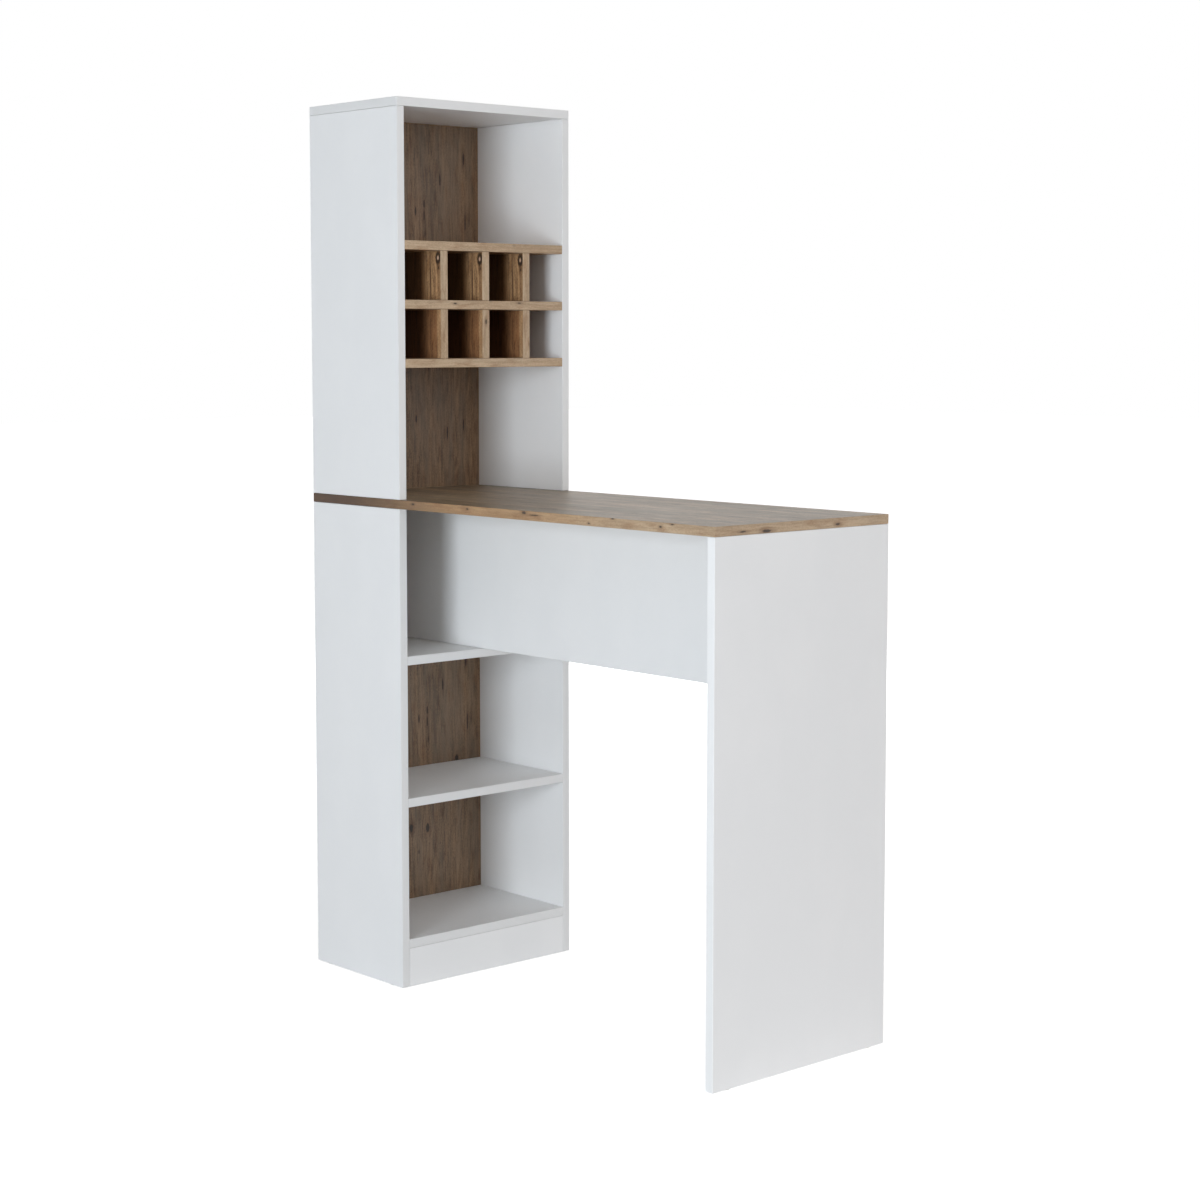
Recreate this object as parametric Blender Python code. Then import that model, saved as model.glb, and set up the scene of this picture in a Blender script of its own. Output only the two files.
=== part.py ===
"""Bar table: an open cabinet with a bottle rack, and a worktop that runs out of it to a leg panel.

Lengths are in metres, +Z is up, and the origin lies on the floor under the middle of the table.
The worktop runs along X, from the cabinet at -X to the leg panel at +X. Left (-Y) and right (+Y)
are as seen by somebody who faces the open front of the cabinet, which looks towards +X.
"""

import math

import bmesh
import bpy
from mathutils import Matrix, Vector

# Overall sizes of the table
LENGTH = 1.200
WIDTH = 0.450
TOTAL_HEIGHT = 1.800
WORKTOP_HEIGHT = 1.000
CABINET_DEPTH = 0.300

# Boards: one coated sheet thickness throughout, with a fine bevel along every edge
BOARD = 0.018
EDGE_BEVEL = 0.0006

# Lower cabinet and the apron that stands on its upper shelf
BOTTOM_PANEL_HEIGHT = 0.100
APRON_HEIGHT = 0.300
APRON_SETBACK = 0.210

# Bottle rack
RACK_ROWS = 2
RACK_COLUMNS = 4
RACK_CELL_HEIGHT = 0.100

# Gap between pieces that meet, and how far a cutter stands out of what it cuts
FIT = 0.0003
OVERCUT = 0.001
ROUND_SIDES = 16
HOLE_SIDES = 12

# Glides nailed under the panels that reach the floor
GLIDE_HEIGHT = 0.002
GLIDE_EDGE = 0.0005
GLIDE_END_DISTANCE = 0.040
NAIL_RADIUS = 0.0011
NAIL_LENGTH = 0.014
NAIL_POINT = 0.002

# Fluted dowels
DOWEL_RADIUS = 0.004
DOWEL_IN_END = 0.018
DOWEL_SKIN = 0.006
DOWEL_FLUTES = 8
FLUTE_DEPTH = 0.0003
DOWEL_CHAMFER = 0.001

# Cam locks: the housing lies in one board's face, and its bolt screws into the board that it meets
CAM_RADIUS = 0.0075
CAM_WALL = 0.002
CAM_SKIN = 0.0035
CAM_END_DISTANCE = 0.024
CAM_SLOT_TURN = math.radians(122)
CAM_SLOT_LEAD = math.radians(25)
CAM_ENTRY_TURN = math.radians(110)
CAM_CROSS_LENGTH = 0.008
CAM_CROSS_WIDTH = 0.0014
CAM_CROSS_DEPTH = 0.0018
BOLT_THREAD_RADIUS = 0.003
BOLT_SKIN = 0.007
BOLT_SHAFT_RADIUS = 0.0035
BOLT_NECK_RADIUS = 0.002
BOLT_HEAD_RADIUS = 0.003
BOLT_HEAD_LENGTH = 0.003
BOLT_POINT = 0.002
LEG_CAM_SIDE_DISTANCE = 0.080

# Countersunk furniture screws with a hexagon socket
SCREW_LENGTH = 0.050
SCREW_HEAD_RADIUS = 0.005
SCREW_HEAD_RIM = 0.001
SCREW_HEAD_DEPTH = 0.003
SCREW_SHANK_RADIUS = 0.0035
SCREW_SHANK_LENGTH = 0.012
SCREW_THREAD_RADIUS = 0.0026
SCREW_POINT = 0.004
SOCKET_RADIUS = 0.0023
SOCKET_DEPTH = 0.0025
SCREW_EDGE_DISTANCE = 0.050

# Places that follow from the sizes above
REAR_X = -LENGTH / 2
END_X = LENGTH / 2
FRONT_X = REAR_X + CABINET_DEPTH
BACK_FACE_X = REAR_X + BOARD
LEG_FACE_X = END_X - BOARD
LEFT_Y = -WIDTH / 2
RIGHT_Y = WIDTH / 2
INNER_LEFT_Y = LEFT_Y + BOARD
INNER_RIGHT_Y = RIGHT_Y - BOARD
FOOT_Z = GLIDE_HEIGHT
WORKTOP_UNDERSIDE = WORKTOP_HEIGHT - BOARD
TOP_PANEL_UNDERSIDE = TOTAL_HEIGHT - BOARD
APRON_FOOT = WORKTOP_UNDERSIDE - APRON_HEIGHT
UPPER_SHELF_UNDERSIDE = APRON_FOOT - BOARD
MID_SHELF_UNDERSIDE = (BOTTOM_PANEL_HEIGHT + UPPER_SHELF_UNDERSIDE - BOARD) / 2
RACK_HEIGHT = RACK_ROWS * RACK_CELL_HEIGHT + (RACK_ROWS + 1) * BOARD
RACK_FOOT = (WORKTOP_HEIGHT + TOP_PANEL_UNDERSIDE - RACK_HEIGHT) / 2
RACK_PITCH = RACK_CELL_HEIGHT + BOARD
DIVIDER_PITCH = (INNER_RIGHT_Y - INNER_LEFT_Y + BOARD) / RACK_COLUMNS
SHELF_MIDDLE_X = (BACK_FACE_X + FRONT_X) / 2
DOWEL_IN_FACE = BOARD - DOWEL_SKIN
BOLT_THREAD_LENGTH = BOARD - BOLT_SKIN
SIDES = {"left": (LEFT_Y, INNER_LEFT_Y, -1), "right": (RIGHT_Y, INNER_RIGHT_Y, 1)}

RIGHT = Vector((0, 1, 0))
BACKWARD = Vector((-1, 0, 0))
UP = Vector((0, 0, 1))
DOWN = Vector((0, 0, -1))


def clear_scene():
    for old in list(bpy.data.objects):
        bpy.data.objects.remove(old)


def finish(name, colour, roughness, metallic=0.0):
    """A plain finish, made once and shared by the pieces that have it."""
    made = bpy.data.materials.get(name)
    if made:
        return made
    made = bpy.data.materials.new(name)
    made.use_nodes = True
    shader = made.node_tree.nodes["Principled BSDF"]
    shader.inputs["Base Color"].default_value = (*colour, 1.0)
    shader.inputs["Roughness"].default_value = roughness
    shader.inputs["Metallic"].default_value = metallic
    made.diffuse_color = (*colour, 1.0)
    return made


def white_coating():
    return finish("white_coating", (0.80, 0.82, 0.84), 0.45)


def pine_decor():
    return finish("pine_decor", (0.27, 0.19, 0.12), 0.55)


def zinc_plate():
    return finish("zinc_plate", (0.62, 0.62, 0.60), 0.35, 1.0)


def cast_zinc():
    return finish("cast_zinc", (0.48, 0.48, 0.47), 0.50, 1.0)


def beech():
    return finish("beech", (0.62, 0.43, 0.25), 0.70)


def white_plastic():
    return finish("white_plastic", (0.78, 0.78, 0.76), 0.50)


def object_of(name, shape, material):
    """Turns a finished bmesh into an object of the scene."""
    mesh = bpy.data.meshes.new(name)
    shape.to_mesh(mesh)
    shape.free()
    made = bpy.data.objects.new(name, mesh)
    bpy.context.scene.collection.objects.link(made)
    if material:
        mesh.materials.append(material)
    return made


def aim(made, at, axis, side=None):
    """Places a piece with its own Z along the axis and, if a side is given, its own X towards it."""
    side = side or axis.orthogonal()
    turned_axes = Matrix((side, axis.cross(side), axis)).transposed()
    made.rotation_euler = turned_axes.to_euler()
    made.location = at
    return made


def board(name, x, y, z, material):
    """A flat board that fills the given spans, with its edges slightly bevelled."""
    spans = (x, y, z)
    size = [high - low for low, high in spans]
    shape = bmesh.new()
    bmesh.ops.create_cube(shape, size=1.0, matrix=Matrix.Diagonal((*size, 1.0)))
    made = object_of(name, shape, material)
    made.location = [(low + high) / 2 for low, high in spans]
    eased = made.modifiers.new("eased_edges", "BEVEL")
    eased.width = EDGE_BEVEL
    return made


def turned_shape(profile, sides=ROUND_SIDES, turn=2 * math.pi):
    """Spins a profile of (radius, height) points about Z; one that starts and ends on Z is closed."""
    shape = bmesh.new()
    points = [shape.verts.new((radius, 0.0, height)) for radius, height in profile]
    lines = [shape.edges.new(pair) for pair in zip(points, points[1:])]
    bmesh.ops.spin(
        shape, geom=points + lines, cent=(0, 0, 0), axis=(0, 0, 1), angle=turn, steps=sides
    )
    bmesh.ops.remove_doubles(shape, verts=shape.verts, dist=1e-6)
    bmesh.ops.recalc_face_normals(shape, faces=shape.faces)
    return shape


def turned(name, profile, material, sides=ROUND_SIDES):
    """A round piece, shaded smooth between its sharp edges."""
    made = object_of(name, turned_shape(profile, sides), material)
    made.data.shade_smooth()
    made.data.set_sharp_from_angle(angle=math.radians(35))
    return made


def cut(target, cutter):
    """Takes the cutter's shape out of the target."""
    cutter.hide_render = True
    cutter.display_type = "WIRE"
    removed = target.modifiers.new(cutter.name, "BOOLEAN")
    removed.operation = "DIFFERENCE"
    removed.solver = "EXACT"
    removed.object = cutter


def drill(target, mouth, direction, radius, depth):
    """A round flat-bottomed hole that runs from its mouth in the given direction."""
    profile = [(0, -OVERCUT), (radius, -OVERCUT), (radius, depth), (0, depth)]
    name = f"{target.name}_hole_{len(target.modifiers)}"
    cut(target, aim(object_of(name, turned_shape(profile, HOLE_SIDES), None), mouth, direction))


def dowel(name, start, direction, length):
    """A fluted wooden dowel with chamfered ends."""
    shape = bmesh.new()
    bmesh.ops.create_circle(shape, segments=2 * DOWEL_FLUTES, radius=DOWEL_RADIUS - DOWEL_CHAMFER)
    for hollow in list(shape.verts)[::2]:
        hollow.co *= 1 - FLUTE_DEPTH / DOWEL_RADIUS
    rim = shape.edges[:]
    taper = DOWEL_RADIUS / (DOWEL_RADIUS - DOWEL_CHAMFER)
    stretches = ((DOWEL_CHAMFER, taper), (length - 2 * DOWEL_CHAMFER, 1), (DOWEL_CHAMFER, 1 / taper))
    for rise, growth in stretches:
        made = bmesh.ops.extrude_edge_only(shape, edges=rim)["geom"]
        corners = [part for part in made if isinstance(part, bmesh.types.BMVert)]
        bmesh.ops.translate(shape, vec=(0, 0, rise), verts=corners)
        bmesh.ops.scale(shape, vec=(growth, growth, 1), verts=corners)
        rim = [part for part in made if isinstance(part, bmesh.types.BMEdge)]
        rim = [edge for edge in rim if all(corner in corners for corner in edge.verts)]
    bmesh.ops.holes_fill(shape, edges=shape.edges)
    bmesh.ops.recalc_face_normals(shape, faces=shape.faces)
    return aim(object_of(name, shape, beech()), start, direction)


def end_dowel(name, shelf, side, joint, outward):
    """A dowel between a shelf's end and the face of a side; joint is where its axis meets that face."""
    dowel(name, joint - DOWEL_IN_END * outward, outward, DOWEL_IN_END + DOWEL_IN_FACE)
    drill(shelf, joint, -outward, DOWEL_RADIUS + FIT, DOWEL_IN_END + FIT)
    drill(side, joint, outward, DOWEL_RADIUS + FIT, DOWEL_IN_FACE + FIT)


def through_dowel(name, below, middle, above, joint):
    """A dowel through a rack board into the dividers under and over it; joint is on its underside."""
    start = joint - DOWEL_IN_END * UP
    dowel(name, start, UP, BOARD + 2 * DOWEL_IN_END)
    drill(below, joint, DOWN, DOWEL_RADIUS + FIT, DOWEL_IN_END + FIT)
    drill(middle, joint, UP, DOWEL_RADIUS + FIT, BOARD + OVERCUT)
    drill(above, joint + BOARD * UP, UP, DOWEL_RADIUS + FIT, DOWEL_IN_END + FIT)


def cam_bolt(name, joint, direction):
    """A steel bolt: its thread lies behind the joint, and its head stands in the cam before it."""
    head_start = FIT + CAM_END_DISTANCE - 2 * BOLT_HEAD_LENGTH / 3
    shaft_end = FIT + CAM_END_DISTANCE - CAM_RADIUS - 2 * FIT
    profile = [
        (0, -BOLT_THREAD_LENGTH),
        (BOLT_THREAD_RADIUS / 2, -BOLT_THREAD_LENGTH),
        (BOLT_THREAD_RADIUS, BOLT_POINT - BOLT_THREAD_LENGTH),
        (BOLT_THREAD_RADIUS, FIT),
        (BOLT_SHAFT_RADIUS, FIT),
        (BOLT_SHAFT_RADIUS, shaft_end),
        (BOLT_NECK_RADIUS, shaft_end),
        (BOLT_NECK_RADIUS, head_start),
        (BOLT_HEAD_RADIUS, head_start),
        (BOLT_HEAD_RADIUS, head_start + BOLT_HEAD_LENGTH),
        (0, head_start + BOLT_HEAD_LENGTH),
    ]
    return aim(turned(name, profile, zinc_plate()), joint, direction)


def cam_housing(name, centre, face, towards_bolt):
    """A cast cam: a drum with a cross recess, hollow inside, and slotted where it grips the bolt."""
    height = BOARD - CAM_SKIN - FIT
    drum = [(0, -height), (CAM_RADIUS, -height), (CAM_RADIUS, 0), (0, 0)]
    made = aim(turned(name, drum, cast_zinc()), centre, face, towards_bolt)
    middle = -BOARD / 2
    inner = CAM_RADIUS - CAM_WALL
    outer = CAM_RADIUS + OVERCUT
    head = BOLT_HEAD_RADIUS + FIT
    neck = BOLT_NECK_RADIUS + FIT

    room = head + FIT
    hollow = [(0, middle - room), (inner, middle - room), (inner, middle + room), (0, middle + room)]
    cut(made, aim(object_of(name + "_hollow", turned_shape(hollow), None), centre, face, towards_bolt))

    slot = turned_shape(
        [
            (inner - OVERCUT, middle - neck),
            (outer, middle - neck),
            (outer, middle + neck),
            (inner - OVERCUT, middle + neck),
            (inner - OVERCUT, middle - neck),
        ],
        ROUND_SIDES // 2,
        CAM_SLOT_TURN,
    )
    bmesh.ops.holes_fill(slot, edges=slot.edges)
    bmesh.ops.recalc_face_normals(slot, faces=slot.faces)
    bmesh.ops.rotate(slot, cent=(0, 0, 0), matrix=Matrix.Rotation(-CAM_SLOT_LEAD, 3, "Z"), verts=slot.verts)
    cut(made, aim(object_of(name + "_slot", slot, None), centre, face, towards_bolt))

    entry = turned_shape([(0, inner - CAM_WALL), (head, inner - CAM_WALL), (head, outer), (0, outer)])
    entry_turn = Matrix.Rotation(CAM_ENTRY_TURN, 4, "Z") @ Matrix.Rotation(math.pi / 2, 4, "Y")
    bmesh.ops.transform(entry, matrix=Matrix.Translation((0, 0, middle)) @ entry_turn, verts=entry.verts)
    cut(made, aim(object_of(name + "_entry", entry, None), centre, face, towards_bolt))

    for number, size in enumerate(
        ((CAM_CROSS_LENGTH, CAM_CROSS_WIDTH), (CAM_CROSS_WIDTH, CAM_CROSS_LENGTH))
    ):
        bar = bmesh.new()
        bmesh.ops.create_cube(bar, size=1.0, matrix=Matrix.Diagonal((*size, 2 * CAM_CROSS_DEPTH, 1.0)))
        cut(made, aim(object_of(f"{name}_cross_{number}", bar, None), centre, face, towards_bolt))
    return made


def cam_joint(prefix, suffix, cam_board, bolt_board, joint, direction, face):
    """Draws two boards together; joint is where the bolt enters bolt_board, direction leads to the cam."""
    centre = joint + (FIT + CAM_END_DISTANCE) * direction + BOARD / 2 * face
    cam_bolt(f"{prefix}_cam_bolt{suffix}", joint, direction)
    cam_housing(f"{prefix}_cam{suffix}", centre, face, -direction)
    drill(bolt_board, joint, -direction, BOLT_THREAD_RADIUS + FIT, BOLT_THREAD_LENGTH + FIT)
    drill(cam_board, joint, direction, BOLT_SHAFT_RADIUS + FIT, FIT + CAM_END_DISTANCE)
    drill(cam_board, centre, -face, CAM_RADIUS + FIT, BOARD - CAM_SKIN)


def screw_joint(name, outer_board, inner_board, mouth, direction):
    """A countersunk screw through one board into the end of the next; mouth is on the outer face.

    The head lies a hair's breadth under that face.
    """
    head = mouth + FIT * direction
    screw = [
        (0, -SCREW_LENGTH),
        (SCREW_THREAD_RADIUS / 2, -SCREW_LENGTH),
        (SCREW_THREAD_RADIUS, SCREW_POINT - SCREW_LENGTH),
        (SCREW_THREAD_RADIUS, -SCREW_SHANK_LENGTH),
        (SCREW_SHANK_RADIUS, -SCREW_SHANK_LENGTH),
        (SCREW_SHANK_RADIUS, -SCREW_HEAD_DEPTH),
        (SCREW_HEAD_RADIUS, -SCREW_HEAD_RIM),
        (SCREW_HEAD_RADIUS, 0),
        (0, 0),
    ]
    made = aim(turned(name, screw, zinc_plate()), head, -direction)
    socket = [(0, -SOCKET_DEPTH), (SOCKET_RADIUS, -SOCKET_DEPTH), (SOCKET_RADIUS, OVERCUT), (0, OVERCUT)]
    cut(made, aim(object_of(name + "_socket", turned_shape(socket, 6), None), head, -direction))

    countersink = [
        (0, -BOARD - OVERCUT),
        (SCREW_SHANK_RADIUS + FIT, -BOARD - OVERCUT),
        (SCREW_SHANK_RADIUS + FIT, -SCREW_HEAD_DEPTH - 2 * FIT),
        (SCREW_HEAD_RADIUS + FIT, -SCREW_HEAD_RIM - 2 * FIT),
        (SCREW_HEAD_RADIUS + FIT, OVERCUT),
        (0, OVERCUT),
    ]
    hole_name = f"{outer_board.name}_hole_{len(outer_board.modifiers)}"
    hole = object_of(hole_name, turned_shape(countersink, HOLE_SIDES), None)
    cut(outer_board, aim(hole, mouth, -direction))
    joint = mouth + BOARD * direction
    drill(inner_board, joint, direction, SCREW_THREAD_RADIUS + FIT, SCREW_LENGTH - BOARD + 2 * FIT)


def glide(name, panel, x, y):
    """A plastic disc with a nail that goes up into a panel's foot; the table stands on its flat face."""
    radius = BOARD / 2 - GLIDE_EDGE
    seat = GLIDE_HEIGHT - FIT
    profile = [
        (0, 0),
        (radius - GLIDE_HEIGHT, 0),
        (radius - GLIDE_EDGE, GLIDE_HEIGHT / 4),
        (radius, GLIDE_HEIGHT / 2),
        (radius, seat),
        (NAIL_RADIUS, seat),
        (NAIL_RADIUS, seat + NAIL_LENGTH - NAIL_POINT),
        (0, seat + NAIL_LENGTH),
    ]
    aim(turned(name, profile, white_plastic()), Vector((x, y, 0)), UP)
    drill(panel, Vector((x, y, FOOT_Z)), UP, NAIL_RADIUS + FIT, NAIL_LENGTH)


def between_sides():
    return INNER_LEFT_Y + FIT, INNER_RIGHT_Y - FIT


def shelf_depth():
    return BACK_FACE_X + FIT, FRONT_X


def lower_cabinet():
    """Two sides that stand on the floor, with the back, plinth, bottom panel and shelves between them."""
    made = {}
    for side, (outer, inner, _) in SIDES.items():
        made[side] = board(
            f"lower_{side}_side",
            (REAR_X, FRONT_X),
            (min(outer, inner), max(outer, inner)),
            (FOOT_Z, WORKTOP_UNDERSIDE - FIT),
            white_coating(),
        )
        rear_x = REAR_X + GLIDE_END_DISTANCE
        front_x = FRONT_X - GLIDE_END_DISTANCE
        glide(f"glide_{side}_rear", made[side], rear_x, (outer + inner) / 2)
        glide(f"glide_{side}_front", made[side], front_x, (outer + inner) / 2)
    across = between_sides()
    board("lower_back", (REAR_X, BACK_FACE_X), across, (FOOT_Z, WORKTOP_UNDERSIDE - FIT), pine_decor())
    board(
        "plinth",
        (FRONT_X - BOARD, FRONT_X),
        across,
        (FOOT_Z, BOTTOM_PANEL_HEIGHT - BOARD - FIT),
        white_coating(),
    )
    undersides = {
        "bottom_panel": BOTTOM_PANEL_HEIGHT - BOARD,
        "mid_shelf": MID_SHELF_UNDERSIDE,
        "upper_shelf": UPPER_SHELF_UNDERSIDE,
    }
    for name, underside in undersides.items():
        shelf = board(name, shelf_depth(), across, (underside, underside + BOARD), white_coating())
        pin_shelf_to_sides(name, shelf, made, underside + BOARD / 2)
    return made


def pin_shelf_to_sides(name, shelf, sides, middle_z):
    for side, (_, inner, sign) in SIDES.items():
        joint = Vector((SHELF_MIDDLE_X, inner, middle_z))
        end_dowel(f"{name}_dowel_{side}", shelf, sides[side], joint, sign * RIGHT)


def worktop_and_leg(lower_sides):
    """The worktop on the lower cabinet and the leg panel, and the apron under it."""
    worktop = board(
        "worktop", (REAR_X, END_X), (LEFT_Y, RIGHT_Y), (WORKTOP_UNDERSIDE, WORKTOP_HEIGHT), pine_decor()
    )
    leg = board(
        "leg_panel",
        (LEG_FACE_X, END_X),
        (LEFT_Y, RIGHT_Y),
        (FOOT_Z, WORKTOP_UNDERSIDE - FIT),
        white_coating(),
    )
    apron_y = LEFT_Y + APRON_SETBACK
    apron = board(
        "apron",
        (BACK_FACE_X + FIT, LEG_FACE_X - FIT),
        (apron_y, apron_y + BOARD),
        (APRON_FOOT + FIT, WORKTOP_UNDERSIDE - FIT),
        white_coating(),
    )
    for side, (outer, inner, sign) in SIDES.items():
        glide(f"glide_leg_{side}", leg, END_X - BOARD / 2, outer - sign * GLIDE_END_DISTANCE)
        leg_joint = Vector((END_X - BOARD / 2, outer - sign * LEG_CAM_SIDE_DISTANCE, WORKTOP_UNDERSIDE))
        cam_joint("leg", f"_{side}", leg, worktop, leg_joint, DOWN, BACKWARD)
        side_joint = Vector(((REAR_X + FRONT_X) / 2, (outer + inner) / 2, WORKTOP_UNDERSIDE))
        cam_joint("cabinet", f"_{side}", lower_sides[side], worktop, side_joint, DOWN, -sign * RIGHT)
    apron_joint = Vector((LEG_FACE_X, apron_y + BOARD / 2, APRON_FOOT + APRON_HEIGHT / 2))
    cam_joint("apron", "", apron, leg, apron_joint, BACKWARD, RIGHT)
    return worktop


def upper_cabinet(worktop):
    """Two sides that stand on the worktop, with the back and the rack between them and a top over them."""
    top_panel = board(
        "top_panel",
        (REAR_X, FRONT_X),
        (LEFT_Y, RIGHT_Y),
        (TOP_PANEL_UNDERSIDE, TOTAL_HEIGHT),
        white_coating(),
    )
    height = (WORKTOP_HEIGHT + FIT, TOP_PANEL_UNDERSIDE - FIT)
    made = {}
    for side, (outer, inner, _) in SIDES.items():
        made[side] = board(
            f"upper_{side}_side",
            (REAR_X, FRONT_X),
            (min(outer, inner), max(outer, inner)),
            height,
            white_coating(),
        )
        rear_x = REAR_X + SCREW_EDGE_DISTANCE
        front_x = FRONT_X - SCREW_EDGE_DISTANCE
        for end, x in (("rear", rear_x), ("front", front_x)):
            over = Vector((x, (outer + inner) / 2, TOTAL_HEIGHT))
            screw_joint(f"top_screw_{side}_{end}", top_panel, made[side], over, DOWN)
            under = Vector((x, (outer + inner) / 2, WORKTOP_UNDERSIDE))
            screw_joint(f"worktop_screw_{side}_{end}", worktop, made[side], under, UP)
    board("upper_back", (REAR_X, BACK_FACE_X), between_sides(), height, pine_decor())
    return made


def rack_dividers(row):
    """The upright boards of one row of the rack, from left to right."""
    low = RACK_FOOT + BOARD + (row - 1) * RACK_PITCH
    made = []
    for column in range(1, RACK_COLUMNS):
        left_y = INNER_LEFT_Y + column * DIVIDER_PITCH - BOARD
        made.append(
            board(
                f"rack_divider_{row}_{column}",
                shelf_depth(),
                (left_y, left_y + BOARD),
                (low + FIT, low + RACK_CELL_HEIGHT - FIT),
                pine_decor(),
            )
        )
    return made


def bottle_rack(upper_sides):
    """Level boards with rows of dividers between them; both are numbered from the bottom up."""
    rows = [rack_dividers(row) for row in range(1, RACK_ROWS + 1)]
    for level in range(RACK_ROWS + 1):
        name = f"rack_board_{level + 1}"
        low = RACK_FOOT + level * RACK_PITCH
        level_board = board(name, shelf_depth(), between_sides(), (low, low + BOARD), pine_decor())
        if level in (0, RACK_ROWS):
            pin_shelf_to_sides(name, level_board, upper_sides, low + BOARD / 2)
            continue
        for column, (below, above) in enumerate(zip(rows[level - 1], rows[level]), 1):
            joint = Vector((SHELF_MIDDLE_X, below.location.y, low))
            through_dowel(f"rack_dowel_{level}_{column}", below, level_board, above, joint)


clear_scene()
lower_sides = lower_cabinet()
worktop = worktop_and_leg(lower_sides)
upper_sides = upper_cabinet(worktop)
bottle_rack(upper_sides)
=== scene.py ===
# %% [markdown]
# # Dressing a bar table
#
# The table is flat-pack furniture: an open cabinet with a bottle rack, a long worktop that runs
# through the cabinet at counter height, and a leg panel that holds up the worktop's other end.
# Its construction is done already and comes in as a fixed frame. What is left is its looks: the
# white coated boards, the rustic pine print with its knots, the edge bands, and the small metal
# and plastic hardware that holds the boards together.
#
# Everything is in metres. +X runs along the worktop from the cabinet to the leg panel, the
# cabinet's open front faces +X, and +Z is up.

# %% Load the frame
import math

import bmesh
import bpy
from mathutils import Matrix, Vector


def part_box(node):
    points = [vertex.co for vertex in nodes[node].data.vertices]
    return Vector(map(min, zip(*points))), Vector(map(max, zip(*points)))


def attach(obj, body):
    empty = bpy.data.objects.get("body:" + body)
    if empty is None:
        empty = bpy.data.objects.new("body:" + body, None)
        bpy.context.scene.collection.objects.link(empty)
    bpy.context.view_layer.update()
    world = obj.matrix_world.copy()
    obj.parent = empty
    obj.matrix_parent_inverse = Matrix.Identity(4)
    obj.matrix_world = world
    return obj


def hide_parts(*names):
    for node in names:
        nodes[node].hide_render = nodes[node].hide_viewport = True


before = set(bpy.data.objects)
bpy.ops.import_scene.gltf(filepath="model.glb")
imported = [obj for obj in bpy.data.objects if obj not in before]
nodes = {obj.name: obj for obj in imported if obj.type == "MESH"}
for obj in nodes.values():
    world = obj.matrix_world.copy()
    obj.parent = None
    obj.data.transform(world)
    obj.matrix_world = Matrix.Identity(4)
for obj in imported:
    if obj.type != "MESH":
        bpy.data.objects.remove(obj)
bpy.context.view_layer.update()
print("nodes in the frame:", len(nodes))

# %% [markdown]
# ## The camera
#
# A photographer of furniture holds the camera nearly level, so that upright edges stay upright.
# The camera stands in front of the leg panel's near corner, a little over the worktop, and looks
# 5 degrees down. A slightly long lens from 4.5 m keeps the perspective calm. The small shift moves
# the picture down without tilting the camera more, which is what a view camera does.

# %% Camera
CAMERA_PLACE = Vector((3.4585, -3.0382, 1.3203))
CAMERA_TURN = math.radians(48.274)
CAMERA_DIP = math.radians(4.893)
LENS = 70.19
SHIFT_DOWN = -0.05

lens = bpy.data.cameras.new("studio_camera")
lens.lens = LENS
lens.shift_y = SHIFT_DOWN
lens.clip_end = 100
camera = bpy.data.objects.new("studio_camera", lens)
camera.location = CAMERA_PLACE
camera.rotation_euler = (math.pi / 2 - CAMERA_DIP, 0, CAMERA_TURN)
bpy.context.scene.collection.objects.link(camera)
bpy.context.scene.camera = camera
print("camera to the middle of the table:", round((CAMERA_PLACE - Vector((0, 0, 0.9))).length, 2), "m")

# %% [markdown]
# ## Node helpers
#
# A procedural material is a small network of nodes. Writing each node's options and inputs on
# separate lines soon gets long, so `place` adds a node in one call: options by keyword, inputs in a
# dictionary. `feed` fills the inputs: each gets a plain value or a link from another node's output.
# `math_node`, `times` and `vector_node` do the same for arithmetic, `bump` turns a height into a
# normal, and `new_group` opens a node group with named sockets.

# %% Node helpers
def feed(tree, node, inputs):
    for socket, value in inputs.items():
        if isinstance(value, bpy.types.NodeSocket):
            tree.links.new(value, node.inputs[socket])
        else:
            node.inputs[socket].default_value = value


def place(tree, kind, inputs=None, **options):
    made = tree.nodes.new(kind)
    for option, value in options.items():
        setattr(made, option, value)
    feed(tree, made, inputs or {})
    return made


def math_node(tree, operation, *values):
    return place(tree, "ShaderNodeMath", dict(enumerate(values)), operation=operation).outputs[0]


def times(tree, first, second):
    return math_node(tree, "MULTIPLY", first, second)


def vector_node(tree, operation, *values):
    made = place(tree, "ShaderNodeVectorMath", dict(enumerate(values)), operation=operation)
    return made.outputs["Value" if operation == "LENGTH" else "Vector"]


def fade(tree, value, start, end, low=0.0, high=1.0):
    """Goes smoothly from low at start to high at end."""
    inputs = {"Value": value, "From Min": start, "From Max": end, "To Min": low, "To Max": high}
    return place(tree, "ShaderNodeMapRange", inputs, interpolation_type="SMOOTHSTEP").outputs["Result"]


def mix_colours(tree, share, first, second, blend="MIX"):
    """A Mix node's two colours are its inputs 6 and 7, and its output 2 is the mixed one."""
    inputs = {"Factor": share, 6: first, 7: second}
    return place(tree, "ShaderNodeMix", inputs, data_type="RGBA", blend_type=blend).outputs[2]


def noise(tree, vector, stretch, detail=2.0, roughness=0.5, distortion=0.0):
    """Cloudy noise between 0 and 1; stretch is how many spots fit in a metre along each axis."""
    stretched = vector_node(tree, "MULTIPLY", vector, stretch)
    inputs = {
        "Vector": stretched,
        "Scale": 1.0,
        "Detail": detail,
        "Roughness": roughness,
        "Distortion": distortion,
    }
    return place(tree, "ShaderNodeTexNoise", inputs, noise_dimensions="3D").outputs["Fac"]


def bump(tree, height, strength, distance, **options):
    inputs = {"Height": height, "Strength": strength, "Distance": distance}
    return place(tree, "ShaderNodeBump", inputs, **options).outputs["Normal"]


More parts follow.
